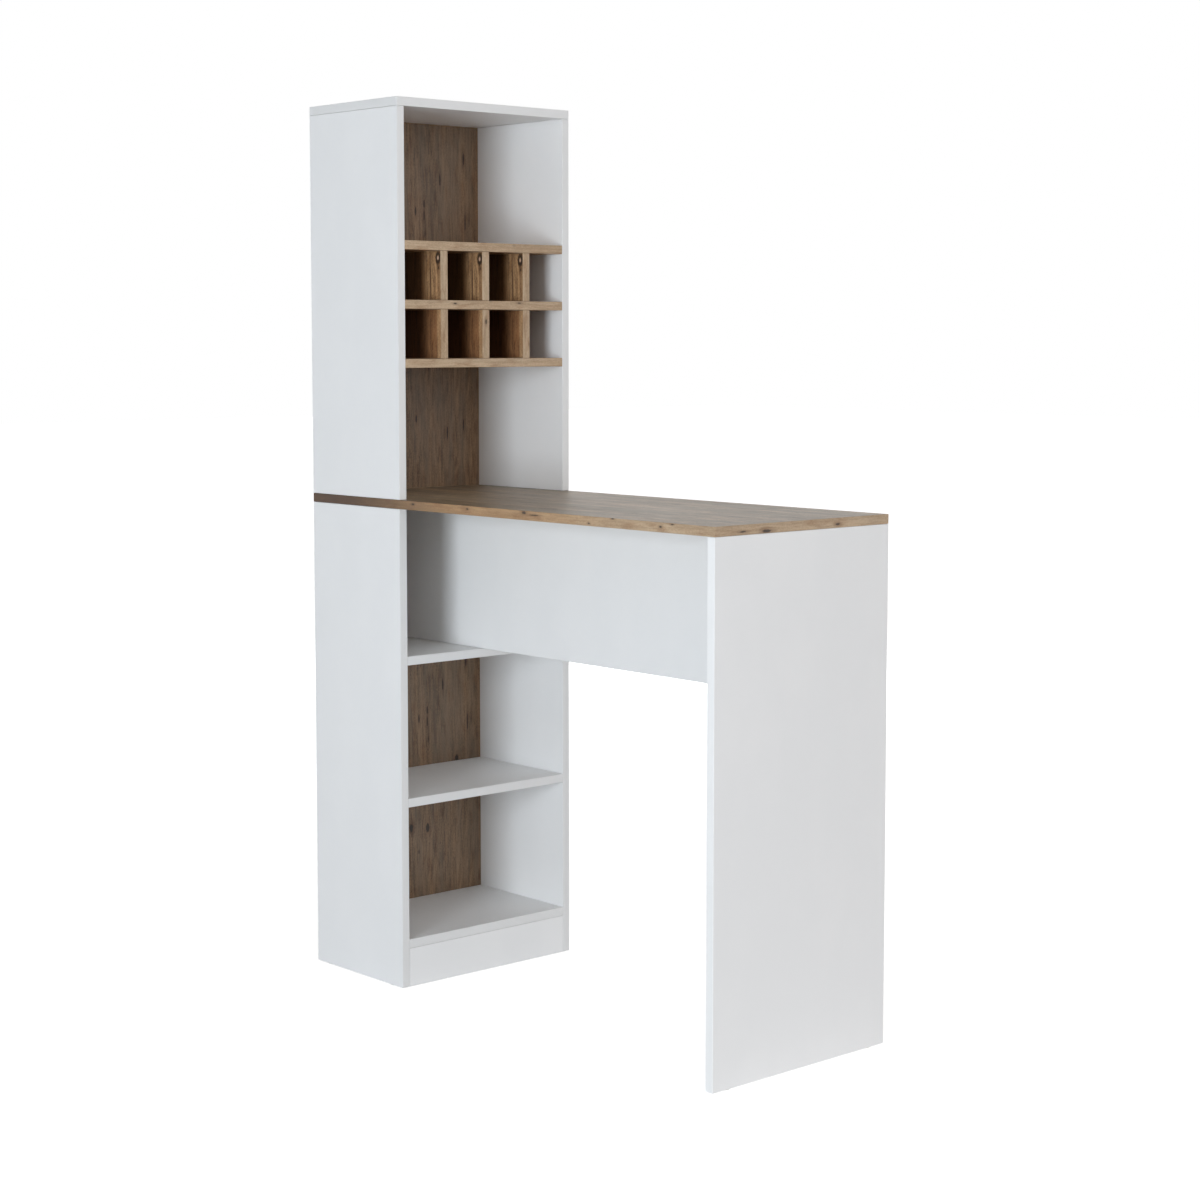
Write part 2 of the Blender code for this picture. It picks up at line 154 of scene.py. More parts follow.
def new_group(name, inputs, outputs):
    """Starts a node group; inputs are (name, kind, value) and outputs are (name, kind)."""
    group = bpy.data.node_groups.new(name, "ShaderNodeTree")
    for label, kind, value in inputs:
        socket = group.interface.new_socket(label, in_out="INPUT", socket_type="NodeSocket" + kind)
        socket.default_value = value
    for label, kind in outputs:
        group.interface.new_socket(label, in_out="OUTPUT", socket_type="NodeSocket" + kind)
    return group, group.nodes.new("NodeGroupInput").outputs, group.nodes.new("NodeGroupOutput").inputs


def use_group(tree, group, inputs):
    return place(tree, "ShaderNodeGroup", inputs, node_tree=group).outputs


def new_material(name):
    """A material with just a Principled BSDF in it."""
    made = bpy.data.materials.new(name)
    made.use_nodes = True
    return made, made.node_tree, made.node_tree.nodes["Principled BSDF"]


# %% [markdown]
# ## The decor sheet
#
# Nothing on this table is solid pine. The boards are chipboard, pressed between two sheets of
# printed paper, and the print shows rustic pine: grey-brown stripes, orange ones, dark cracks and
# knots. A pattern on Object coordinates would put the same spot of the print at the same place in
# the room, on every board. So each board gets a UV map called `decor`, in metres on the printed
# sheet: U runs along the grain and V across it. Boards that were cut from the same part of the
# sheet, such as the rack's upper dividers, then show the same knot, as the real ones do.
#
# A knot pushes the grain aside. The `knot` group does that to the map itself: it takes the place on
# the sheet and gives back a bent place, with a mask for the dark heart and a wider one for its halo.
# Knots are chained, each bending what the one before gave. A loose knot has a black heart; a sound
# one shows its own year rings, so the group can leave rings of wood between the dark ones, and it
# gives a third mask for the knot's pale middle. The group counts all distances in knots: its heart
# ends at 1.

# %% Knot group
HEART_FADE, HALO_FADE, PALE_FADE = (1.12, 0.7), (3.0, 0.9), (0.42, 0.12)
PULL, PULL_FADE = 0.8, (0.2, 3.2)
RING_STEP, RING_FADE, RING_CLEARNESS = 4.6, (-0.2, 0.6), 0.95
RAGGED = 0.45
KNOT_MASKS = ("Heart", "Halo", "Pale")


def make_knot_group():
    group, given, result = new_group(
        "knot",
        [
            ("Print", "Vector", (0, 0, 0)),
            ("Centre", "Vector", (0, 0, 0)),
            ("Size", "Vector", (0.01, 0.005, 1)),
            ("Ringed", "Float", 0.0),
        ]
        + [(mask, "Float", 0.0) for mask in KNOT_MASKS],
        [("Print", "Vector")] + [(mask, "Float") for mask in KNOT_MASKS],
    )
    offset = vector_node(group, "SUBTRACT", given["Print"], given["Centre"])
    away = vector_node(group, "LENGTH", vector_node(group, "DIVIDE", offset, given["Size"]))
    ragged = noise(group, given["Print"], (160, 420, 0))
    ragged = math_node(group, "MULTIPLY_ADD", ragged, 2 * RAGGED, -RAGGED)
    rough_away = math_node(group, "ADD", away, ragged)

    pull = fade(group, away, *PULL_FADE, PULL, 0.0)
    aside = vector_node(group, "MULTIPLY", offset, (0, 1, 0))
    scaled = place(group, "ShaderNodeVectorMath", {0: aside, "Scale": pull}, operation="SCALE").outputs[0]
    bent = vector_node(group, "SUBTRACT", given["Print"], scaled)

    rings = math_node(group, "COSINE", times(group, rough_away, RING_STEP))
    clear = times(group, fade(group, rings, *RING_FADE), given["Ringed"])
    between = math_node(group, "MULTIPLY_ADD", clear, -RING_CLEARNESS, 1.0)
    heart = times(group, fade(group, rough_away, *HEART_FADE), between)
    dark = math_node(group, "SUBTRACT", 1.0, clear)
    halo = times(group, fade(group, rough_away, *HALO_FADE), dark)
    pale = times(group, fade(group, away, *PALE_FADE), given["Ringed"])

    group.links.new(bent, result["Print"])
    for mask, drawn in zip(KNOT_MASKS, (heart, halo, pale)):
        group.links.new(math_node(group, "MAXIMUM", given[mask], drawn), result[mask])
    return group


knot_group = make_knot_group()
print("knot group:", len(knot_group.nodes), "nodes")

# %% [markdown]
# The grain itself is noise, stretched along U. Rustic pine is brushed and weathered, so its streaks
# are short: most are a finger long and one to five millimetres wide. Four scales add up: broad
# planks of tone, the streaks, fibres under a millimetre wide, and a grit that breaks them up. More
# noises give the hue, because the print swings between grey and brown, the redder blotches, and the
# pores: small dark dashes that come in clusters. Loose pin knots are scattered with a Voronoi
# texture, whose cells each get a random colour: only the few cells above a threshold hold a knot.

# %% Pine figure group
PLANK_SHARE, STREAK_SHARE, FIBRE_SHARE, GRIT_SHARE = 0.4, 0.6, 0.25, 0.3
HALO_SHARE, MARK_SHARE = 0.4, 0.88
BLOTCH_COLOUR = (0.68, 0.55, 0.45, 1)
HALO_COLOUR = (0.13, 0.065, 0.03, 1)
MARK_COLOUR = (0.024, 0.016, 0.012, 1)
PALE_COLOUR = (0.66, 0.45, 0.32, 1)


def make_pine_group():
    group, given, result = new_group(
        "pine_figure",
        [
            ("Print", "Vector", (0, 0, 0)),
            ("Bent Print", "Vector", (0, 0, 0)),
            ("Light", "Color", (1, 1, 1, 1)),
            ("Dark", "Color", (0, 0, 0, 1)),
            ("Grey", "Color", (0.5, 0.5, 0.5, 1)),
            ("Greying", "Float", 0.5),
            ("Cracks", "Float", 1.0),
        ]
        + [(mask, "Float", 0.0) for mask in KNOT_MASKS],
        [("Color", "Color"), ("Height", "Float")],
    )
    planks = noise(group, given["Bent Print"], (2.2, 20, 0), detail=3.0, roughness=0.6)
    streaks = noise(group, given["Bent Print"], (16, 190, 0), detail=4.0, roughness=0.6, distortion=0.5)
    fibres = noise(group, given["Print"], (110, 1500, 0))
    grit = noise(group, given["Print"], (230, 430, 5))
    tone = times(group, planks, PLANK_SHARE)
    tone = math_node(group, "MULTIPLY_ADD", streaks, STREAK_SHARE, tone)
    for fine, share in ((fibres, FIBRE_SHARE), (grit, GRIT_SHARE)):
        tone = math_node(group, "MULTIPLY_ADD", math_node(group, "SUBTRACT", fine, 0.5), share, tone)
    tone = fade(group, tone, 0.33, 0.67)
    wood = mix_colours(group, tone, given["Dark"], given["Light"])
    hue = fade(group, noise(group, given["Bent Print"], (3, 30, 3), detail=3.0), 0.35, 0.65)
    wood = mix_colours(group, times(group, hue, given["Greying"]), wood, given["Grey"])
    blotches = fade(group, noise(group, given["Bent Print"], (20, 70, 17), detail=3.0), 0.5, 0.7, 0.0, 0.6)
    wood = mix_colours(group, blotches, wood, BLOTCH_COLOUR, blend="MULTIPLY")

    pores = fade(group, noise(group, given["Bent Print"], (85, 520, 7), detail=1.0), 0.62, 0.74)
    clusters = fade(group, noise(group, given["Print"], (9, 30, 11)), 0.45, 0.68)
    pores = times(group, pores, clusters)
    cells = place(
        group,
        "ShaderNodeTexVoronoi",
        {"Vector": vector_node(group, "MULTIPLY", given["Print"], (10, 24, 0)), "Scale": 1.0},
        voronoi_dimensions="2D",
    )
    chosen = fade(group, cells.outputs["Color"], 0.8, 0.84)
    pins = times(group, fade(group, cells.outputs["Distance"], 0.07, 0.02), chosen)
    scattered = math_node(group, "MAXIMUM", times(group, pores, 0.5), pins)
    scattered = times(group, scattered, given["Cracks"])
    marks = math_node(group, "MAXIMUM", scattered, given["Heart"])

    wood = mix_colours(group, times(group, given["Halo"], HALO_SHARE), wood, HALO_COLOUR)
    wood = mix_colours(group, times(group, marks, MARK_SHARE), wood, MARK_COLOUR)
    wood = mix_colours(group, given["Pale"], wood, PALE_COLOUR)
    group.links.new(wood, result["Color"])
    height = math_node(group, "MULTIPLY_ADD", marks, -0.6, times(group, fibres, 0.5))
    group.links.new(math_node(group, "MULTIPLY_ADD", planks, 0.8, height), result["Height"])
    return group


pine_group = make_pine_group()
print("pine group:", len(pine_group.nodes), "nodes")

# %% [markdown]
# ## Knots and cracks that the photograph shows
#
# Each is (along the grain, across it, length, width) in metres on the decor sheet. For the faces,
# the sheet is laid so that the lower back lies on it as it stands: U is the height over the floor
# and V the distance to the right of the table's middle. The upper back shows the same print, cut
# 1.1 m further on. The upper dividers have one sound knot near their front top corner, with its
# rings, and a crack beside it.
#
# On the edge strips U counts from the middle of the board's front edge, and V runs across the
# strip. The worktop's front edge is the one towards the person who sits at it.

# %% Knots on the sheets
UPPER_BACK_CUT = Vector((-1.1, 0.0))
UPPER_DIVIDER_CUT = Vector((-1.2, 3.0))
LOWER_DIVIDER_CUT = Vector((-0.6, 5.0))
WORKTOP_CUT = Vector((0.0, 8.0))
RACK_BOARD_CUT = Vector((0.0, 11.0))
RACK_STRIP_CUT = Vector((3.0, 0.0))
UPPER_DIVIDER_STRIP_CUT = Vector((8.0, 0.4))
LOWER_DIVIDER_STRIP_CUT = Vector((9.0, 0.8))
STEP_TO_NEXT_BOARD = Vector((0.37, 0.05))
MIDDLE_BOARD_STRIP = RACK_STRIP_CUT + 2 * STEP_TO_NEXT_BOARD

FACE_KNOTS = [
    (0.250, 0.057, 0.011, 0.0055),
    (0.256, 0.012, 0.010, 0.0050),
    (0.395, 0.139, 0.010, 0.0050),
    (0.486, 0.058, 0.012, 0.0016),
    (0.512, 0.058, 0.010, 0.0016),
    (0.495, 0.035, 0.010, 0.0020),
    (0.446, 0.060, 0.008, 0.0012),
    (0.564, 0.101, 0.014, 0.0022),
    (0.612, 0.166, 0.013, 0.0020),
    (0.473, 0.170, 0.020, 0.0016),
    (0.050, 0.033, 0.009, 0.0020),
    (0.018, 0.118, 0.014, 0.0020),
    (0.034, 0.163, 0.012, 0.0018),
]
RACK_CRACKS = [(0.235, 2.667, 0.060, 0.0011), (0.265, 2.6925, 0.0035, 0.0020)]
RACK_SOUND_KNOTS = [(0.285, 2.6910, 0.0140, 0.0088)]
STRIP_KNOTS = [
    (-0.255, 0.994, 0.0050, 0.0022),
    (-0.082, 0.994, 0.0035, 0.0018),
    (0.089, 0.996, 0.0060, 0.0028),
    (0.118, 0.993, 0.0130, 0.0012),
    (0.273, 0.987, 0.0028, 0.0014),
    (0.338, 0.999, 0.0040, 0.0012),
    (0.464, 0.992, 0.0036, 0.0020),
    (0.494, 0.998, 0.0040, 0.0012),
    (0.669, 0.988, 0.0080, 0.0016),
    (0.728, 0.986, 0.0110, 0.0030),
    (0.911, 0.9885, 0.0055, 0.0020),
    (MIDDLE_BOARD_STRIP[0] - 0.080, MIDDLE_BOARD_STRIP[1] + 1.3936, 0.0045, 0.0016),
    (MIDDLE_BOARD_STRIP[0] + 0.089, MIDDLE_BOARD_STRIP[1] + 1.3960, 0.0050, 0.0013),
    (LOWER_DIVIDER_STRIP_CUT[0] + 0.025, LOWER_DIVIDER_STRIP_CUT[1], 0.0055, 0.0022),
]


def with_knots(tree, start, loose, sound=()):
    """Chains a knot group for each knot and returns the bent place and the knots' masks."""
    made = {"Print": start, **dict.fromkeys(KNOT_MASKS, 0.0)}
    for ringed, knots in ((0.0, loose), (1.0, sound)):
        for along, across, length, width in knots:
            inputs = {
                "Print": made["Print"],
                "Centre": (along, across, 0),
                "Size": (length, width, 1),
                "Ringed": ringed,
                **{mask: made[mask] for mask in KNOT_MASKS},
            }
            made = use_group(tree, knot_group, inputs)
    return made


print("knots drawn by hand:", len(FACE_KNOTS), "on the backs and", len(STRIP_KNOTS), "on strips")

# %% [markdown]
# ## Pine finishes
#
# Faces and edges differ. The faces carry the printed paper, pressed on with a satin plate. The
# rack's boards are cut from a stretch of it that is more orange, with one sound knot and a crack.
# The worktop's print is painted lighter and greyer than the backs', as painted sheen and light from
# above. Its figure is stronger and its brushed grain deeper, and both still show through its pale
# sheen where one looks along it. The edges carry a thin strip, glued on, in a lighter and more
# golden print with many small knots.
#
# The worktop's long strip is dark and orange at the cabinet's rear, and turns paler and more golden
# all the way to the leg; stains in the print give that. The dividers are orange at the front, and
# painted shade makes them darker further into the rack's cells, where the shade falls. Each stain
# or band of painted shade multiplies the colour, more and more along one axis of the sheet.

# %% Pine materials
BAND_FADE_END = 0.1
MEAN_HEIGHT, GLOSS_SWING = 0.375, -0.16
GRAIN_STRENGTH = 0.35


def pine_material(
    name,
    light,
    dark,
    grey,
    greying,
    loose=(),
    sound=(),
    cracks=0.8,
    roughness=0.42,
    specular=0.5,
    relief=0.0002,
    stains_and_shade=(),
):
    """Each band is (its axis, where it starts, is full, and ends, and the colour it multiplies by); bands
    give stains in the print and painted shade.
    """
    made, tree, shader = new_material(name)
    sheet = place(tree, "ShaderNodeUVMap", uv_map="decor").outputs["UV"]
    knotted = with_knots(tree, sheet, loose, sound)
    inputs = {
        "Print": sheet,
        "Bent Print": knotted["Print"],
        **{mask: knotted[mask] for mask in KNOT_MASKS},
        "Light": (*light, 1),
        "Dark": (*dark, 1),
        "Grey": (*grey, 1),
        "Greying": greying,
        "Cracks": cracks,
    }
    figure = use_group(tree, pine_group, inputs)
    colour = figure["Color"]
    axes = place(tree, "ShaderNodeSeparateXYZ", {"Vector": sheet}).outputs
    # each band multiplies the colour: a stain in the print, or painted shade deep in the rack's cells
    for axis, start, full, end, band_colour in stains_and_shade:
        begun = fade(tree, axes[axis], start, full)
        share = times(tree, begun, fade(tree, axes[axis], end, end + BAND_FADE_END))
        colour = mix_colours(tree, share, colour, (*band_colour, 1), blend="MULTIPLY")
    at_no_height = roughness - GLOSS_SWING * MEAN_HEIGHT
    finish = {
        "Base Color": colour,
        "Roughness": math_node(tree, "MULTIPLY_ADD", figure["Height"], GLOSS_SWING, at_no_height),
        "Specular IOR Level": specular,
        "Normal": bump(tree, figure["Height"], GRAIN_STRENGTH, relief),
    }
    feed(tree, shader, finish)
    return made


pine_face = pine_material(
    "pine_face",
    light=(0.37, 0.235, 0.135),
    dark=(0.13, 0.077, 0.04),
    grey=(0.20, 0.152, 0.11),
    greying=0.55,
    loose=FACE_KNOTS,
)
# painted light: lighter, greyer colours than pine_face's stand in for the worktop's sheen and light from
# above
pine_worktop_painted_light = pine_material(
    "pine_worktop_painted_light",
    light=(0.53, 0.395, 0.255),
    dark=(0.10, 0.068, 0.042),
    grey=(0.26, 0.22, 0.165),
    greying=0.6,
    specular=0.3,
    relief=0.0008,
)
pine_rack = pine_material(
    "pine_rack",
    light=(0.64, 0.39, 0.20),
    dark=(0.15, 0.08, 0.04),
    grey=(0.30, 0.205, 0.13),
    greying=0.25,
    loose=RACK_CRACKS,
    sound=RACK_SOUND_KNOTS,
    cracks=0.6,
    # painted shade: the dividers' print gets darker further into the rack's cells, where they lie in shade
    stains_and_shade=[
        ("Y", 2.665, 2.625, 2.30, (0.28, 0.24, 0.21)),
        ("Y", 4.691, 4.685, 4.30, (0.55, 0.45, 0.40)),
        ("Y", 4.670, 4.625, 4.30, (0.36, 0.32, 0.30)),
    ],
)
pine_strip = pine_material(
    "pine_strip",
    light=(0.55, 0.405, 0.265),
    dark=(0.345, 0.23, 0.135),
    grey=(0.435, 0.355, 0.26),
    greying=0.3,
    loose=STRIP_KNOTS,
    cracks=0.35,
    roughness=0.45,
    stains_and_shade=[
        ("X", 0.55, -0.10, -0.75, (0.86, 0.71, 0.53)),
        ("X", -0.08, -0.50, -0.72, (0.17, 0.12, 0.06)),
    ],
)
print("pine materials:", pine_face.name, pine_worktop_painted_light.name, pine_rack.name, pine_strip.name)

# %% [markdown]
# ## White coating
#
# The white boards are pressed with a plate that leaves a very fine pearl texture, too small to see
# but enough to break up reflections. A bump from fine noise gives that, and a slower noise lets the
# gloss vary a little, as pressed paper does. The edge strips are smoother plastic, a little greyer
# than the faces; only the leg panel's strip is painted brighter, a painted highlight that draws a
# fine line of light down its corner.

# %% White materials
CLOUD_FADE, CLOUD_DULLNESS = (0.35, 0.7), 0.14
PEARL_STRENGTH = 0.3


def make_pearl_group():
    group, given, result = new_group(
        "pearl_texture", [("Place", "Vector", (0, 0, 0))], [("Height", "Float"), ("Cloud", "Float")]
    )
    fine = noise(group, given["Place"], (1400, 1400, 1400), detail=1.0)
    coarse = noise(group, given["Place"], (420, 420, 420), detail=1.0)
    cloud = noise(group, given["Place"], (9, 9, 5), detail=3.0)
    group.links.new(math_node(group, "MULTIPLY_ADD", coarse, 0.5, fine), result["Height"])
    group.links.new(cloud, result["Cloud"])
    return group


pearl_group = make_pearl_group()


def coated_material(name, clean, shaded, roughness, relief):
    """A pale skin of plastic or coated paper; relief is how deep its texture is, in metres."""
    made, tree, shader = new_material(name)
    here = place(tree, "ShaderNodeTexCoord").outputs["Object"]
    texture = use_group(tree, pearl_group, {"Place": here})
    clouds = fade(tree, texture["Cloud"], *CLOUD_FADE)
    finish = {
        "Base Color": mix_colours(tree, clouds, (*shaded, 1), (*clean, 1)),
        "Roughness": math_node(tree, "MULTIPLY_ADD", texture["Cloud"], CLOUD_DULLNESS, roughness),
        "Normal": bump(tree, texture["Height"], PEARL_STRENGTH, relief),
    }
    feed(tree, shader, finish)
    return made


white_face = coated_material("white_face", (0.90, 0.906, 0.908), (0.882, 0.89, 0.894), 0.36, 0.00012)
white_strip = coated_material("white_strip", (0.81, 0.815, 0.815), (0.795, 0.80, 0.80), 0.30, 0.00004)
# painted highlight: the leg panel's strip is whiter than the others, for the bright line of light down its
# corner
leg_strip_painted_highlight = coated_material("leg_strip_painted_highlight", (0.94, 0.945, 0.945), (0.93, 0.935, 0.935), 0.30, 0.00004)
print("white materials:", white_face.name, white_strip.name, leg_strip_painted_highlight.name)

# %% [markdown]
# ## Chipboard
#
# Where a hole is drilled, the core shows: glued wood chips of all browns. A Voronoi texture gives
# the chips, each with its own shade, and the distance to their edges gives the dark glue between.

# %% Chipboard material
CHIPS_IN_A_METRE = 620.0


def chipboard_material():
    made, tree, shader = new_material("chipboard")
    here = place(tree, "ShaderNodeTexCoord").outputs["Object"]
    chips = place(tree, "ShaderNodeTexVoronoi", {"Vector": here, "Scale": CHIPS_IN_A_METRE}).outputs
    shade = fade(tree, chips["Color"], 0.1, 0.9)
    colour = mix_colours(tree, shade, (0.23, 0.135, 0.066, 1), (0.60, 0.43, 0.25, 1))
    glue = fade(tree, chips["Distance"], 0.45, 0.75)
    finish = {
        "Base Color": mix_colours(tree, glue, colour, (0.12, 0.075, 0.04, 1)),
        "Roughness": 0.9,
        "Normal": bump(tree, chips["Distance"], 0.6, 0.0004, invert=True),
    }
    feed(tree, shader, finish)
    return made


chipboard = chipboard_material()
print("core material:", chipboard.name)

# %% [markdown]
# ## The boards
#
# The frame has each board as a plain solid with a flat bevel and its drilled holes. The visual board
# starts as a copy of that mesh, merged, because the frame's mesh is loose triangles. Then it gets
# what a real board has:
#
# 1. its bevel is rounded, as an edge strip is after scraping,
# 2. its faces are cut 1 mm inside the edges, so that the strip's thickness shows as a fine line,
# 3. its material differs on faces, on strips and inside holes,
# 4. it gets the `decor` map described above.

# %% Merged copy of a node
X, Y, Z = range(3)
MERGE = 1e-6
FLAT = math.radians(1)


def unit(axis):
    return Vector([float(other == axis) for other in range(3)])


def merged_copy(name):
    shape = bmesh.new()
    shape.from_mesh(nodes[name].data)
    bmesh.ops.remove_doubles(shape, verts=shape.verts, dist=MERGE)
    bmesh.ops.dissolve_limit(shape, angle_limit=FLAT, verts=shape.verts, edges=shape.edges)
    return shape


def object_of(shape, name, materials):
    mesh = bpy.data.meshes.new(name)
    shape.to_mesh(mesh)
    shape.free()
    for material in materials:
        mesh.materials.append(material)
    made = bpy.data.objects.new(name, mesh)
    bpy.context.scene.collection.objects.link(made)
    return made


def finish_piece(name, shape, materials, stands_for):
    """Makes an object of the shape, which rides on the table and takes the place of a node."""
    made = object_of(shape, name, materials)
    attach(made, "root")
    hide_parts(stands_for)
    return made


# %% [markdown]
# The frame's bevel is one flat band at 45 degrees between a face and an edge of the board. Its two
# borders are found by that angle and by lying near two of the box's planes, and bevelling them makes
# it rounder. The line of the strip is cut with planes, which leaves the shape as it is and only
# gives the faces a border there.

# %% Round the bevel and cut the line of the edge strip
CAD_BEVEL = 0.0006
LEAST_TURN, MOST_TURN = math.radians(20), math.radians(60)
STRIP = 0.001
NEAR = 0.00002


def bevel_edges(shape, edges, offset):
    bmesh.ops.bevel(
        shape,
        geom=edges,
        offset=offset,
        offset_type="OFFSET",
        segments=2,
        profile=0.5,
        affect="EDGES",
        material=-1,
    )


def outer_planes(point, low, high, reach):
    """How many of the box's six planes the point lies on, within reach."""
    return sum(min(point[axis] - low[axis], high[axis] - point[axis]) < reach for axis in range(3))


def round_bevel(shape, low, high):
    """Splits each flat bevel into a rounder one."""
    sides = []
    for edge in shape.edges:
        if len(edge.link_faces) != 2:
            continue
        on_rim = all(outer_planes(v.co, low, high, CAD_BEVEL + NEAR) >= 2 for v in edge.verts)
        if on_rim and LEAST_TURN < edge.calc_face_angle() < MOST_TURN:
            sides.append(edge)
    bevel_edges(shape, sides, CAD_BEVEL / 3)


def cut_strip_line(shape, low, high, thickness_axis):
    """Cuts the board's faces along a line one strip's thickness inside each edge."""
    for axis in range(3):
        if axis == thickness_axis:
            continue
        across = unit(axis)
        for at in (low[axis] + STRIP, high[axis] - STRIP):
            geometry = shape.verts[:] + shape.edges[:] + shape.faces[:]
            bmesh.ops.bisect_plane(
                shape, geom=geometry, dist=MERGE, plane_co=across * at, plane_no=across
            )


# %% [markdown]
# Which material a bit of the board gets follows from where it lies. A bit is on the outside when it
# is on one of the box's planes and looks outwards. There it is face or strip, and anything else is
# inside a hole. The same sorting tells how the decor sheet lies on it: the grain runs along the
# board's grain axis on faces, and along the longer way on strips.

# %% Sort faces
FACE, STRIP_FACE, CORE = 0, 1, 2


def main_axis(normal):
    return max(range(3), key=lambda axis: abs(normal[axis]))


def sort_faces(shape, low, high, thickness_axis):
    for face in shape.faces:
        middle = face.calc_center_median()
        axis = main_axis(face.normal)
        wall = high[axis] if face.normal[axis] > 0 else low[axis]
        depth = abs(middle[axis] - wall)
        outside = depth < CAD_BEVEL + NEAR
        face.smooth = NEAR < depth and outside
        if not outside and outer_planes(middle, low, high, CAD_BEVEL) < 2:
            face.material_index = CORE
            continue
        inside_lines = all(
            low[a] + STRIP < middle[a] < high[a] - STRIP for a in range(3) if a != thickness_axis
        )
        face.material_index = FACE if axis == thickness_axis and inside_lines else STRIP_FACE


# %% [markdown]
# A strip runs round the board's rim in one length. So on the rim U is the way along the rim, counted
# from the middle of the front edge, and it goes on round the corners. The worktop's end strip then
# never repeats the knots of its long strip.

# %% Lay the decor sheet
def from_middle(point, middle, front):
    """How far forward and how far sideways of the board's middle the point lies."""
    front_axis, front_sign, side_axis = front
    return front_sign * (point[front_axis] - middle[front_axis]), point[side_axis] - middle[side_axis]


def along_rim(point, side, middle, half, front):
    """The way along the rim from the middle of the front edge, for a point on the given side."""
    front_axis, _, side_axis = front
    forward, sideways = from_middle(point, middle, front)
    if side == "front":
        return sideways
    if side == "back":
        return 2 * half[side_axis] + 2 * half[front_axis] - sideways
    round_corner = half[side_axis] + half[front_axis] - forward
    return round_corner if side == "high" else -round_corner


def nearest_side(point, middle, half, front):
    """Which of the rim's four sides the point lies nearest to."""
    front_axis, _, side_axis = front
    forward, sideways = from_middle(point, middle, front)
    gaps = {
        "front": half[front_axis] - forward,
        "back": half[front_axis] + forward,
        "high": half[side_axis] - sideways,
        "low": half[side_axis] + sideways,
    }
    return min(gaps, key=gaps.get)


def lay_decor(shape, low, high, thickness_axis, grain_axis, front, cut, strip_cut):
    """Writes the decor map: U along the grain and V across it, in metres on the sheet."""
    layer = shape.loops.layers.uv.new("decor")
    middle, half = (low + high) / 2, (high - low) / 2
    across_axis = next(a for a in range(3) if a not in (grain_axis, thickness_axis))
    for face in shape.faces:
        if face.material_index == STRIP_FACE:
            side = nearest_side(face.calc_center_median(), middle, half, front)
            for loop in face.loops:
                here = loop.vert.co
                way = along_rim(here, side, middle, half, front)
                loop[layer].uv = (way + strip_cut[0], here[thickness_axis] + strip_cut[1])
        else:
            for loop in face.loops:
                here = loop.vert.co
                loop[layer].uv = (here[grain_axis] + cut[0], here[across_axis] + cut[1])


# %% [markdown]
# These steps go together in one function. The strip's line is cut before the bevel is rounded,
# while the board still has few faces. Only a printed board has a grain and gets the map.

# %% Dress one board
NO_CUT = Vector((0, 0))


def dress_board(name, materials, grain_axis=None, front=None, cut=NO_CUT, strip_cut=NO_CUT):
    low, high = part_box(name)
    thickness_axis = min(range(3), key=lambda a: high[a] - low[a])
    shape = merged_copy(name)
    cut_strip_line(shape, low, high, thickness_axis)
    round_bevel(shape, low, high)
    sort_faces(shape, low, high, thickness_axis)
    if front:
        lay_decor(shape, low, high, thickness_axis, grain_axis, front, cut, strip_cut)
    return finish_piece(name + "_dressed", shape, materials, name)


# %% [markdown]
# White has no grain, so these boards need just a name and their finishes. The leg panel has its own
# strip, painted brighter as a highlight.

# %% The white boards
WHITE = [white_face, white_strip, chipboard]
WHITE_LEG = [white_face, leg_strip_painted_highlight, chipboard]
WHITE_BOARDS = (
    "lower_left_side",
    "lower_right_side",
    "plinth",
    "bottom_panel",
    "mid_shelf",
    "upper_shelf",
    "leg_panel",
    "apron",
    "top_panel",
    "upper_left_side",
    "upper_right_side",
)
for board_name in WHITE_BOARDS:
    dress_board(board_name, WHITE_LEG if board_name == "leg_panel" else WHITE)
print("white boards:", len(WHITE_BOARDS))

# %% [markdown]
# For the pine boards, `front` says which edge is the front one: its axis, its sign, and the axis
# along which it runs.

# %% The pine boards
PINE = [pine_face, pine_strip, chipboard]
WORKTOP_PINE = [pine_worktop_painted_light, pine_strip, chipboard]
RACK_PINE = [pine_rack, pine_strip, chipboard]
SITTER_EDGE = (Y, -1, X)
OPEN_EDGE = (X, 1, Y)
UPRIGHT_OPEN_EDGE = (X, 1, Z)
TOP_EDGE = (Z, 1, Y)

pine_boards = [
    dress_board("lower_back", PINE, Z, TOP_EDGE),
    dress_board("upper_back", PINE, Z, TOP_EDGE, UPPER_BACK_CUT),
    dress_board("worktop", WORKTOP_PINE, X, SITTER_EDGE, WORKTOP_CUT),
]
for level in (1, 2, 3):
    shift = level * STEP_TO_NEXT_BOARD
    cuts = (RACK_BOARD_CUT + shift, RACK_STRIP_CUT + shift)
    pine_boards.append(dress_board(f"rack_board_{level}", RACK_PINE, Y, OPEN_EDGE, *cuts))
for row, cuts in (
    (1, (LOWER_DIVIDER_CUT, LOWER_DIVIDER_STRIP_CUT)),
    (2, (UPPER_DIVIDER_CUT, UPPER_DIVIDER_STRIP_CUT)),
):
    for column in (1, 2, 3):
        name = f"rack_divider_{row}_{column}"
        pine_boards.append(dress_board(name, RACK_PINE, Z, UPRIGHT_OPEN_EDGE, *cuts))
print("pine boards:", len(pine_boards))

# %% [markdown]
# ## Hardware
#
# The small parts are turned or cast, so their shape is a half outline spun round an axis. Each is
# made on the bench, standing on the origin along Z, and then moved to its place. The frame says
# where that is: a fastener's box gives its axis and its two ends.
#
# The frame's own fasteners have 16 sides, which is plenty for their fit but shows from near by. The
# ones made here have 48 or more, with rounded rims, real threads and recesses.

# %% Turned shapes
FULL_TURN = 2 * math.pi
SHARP = math.radians(30)
BENCH_STEPS = 48


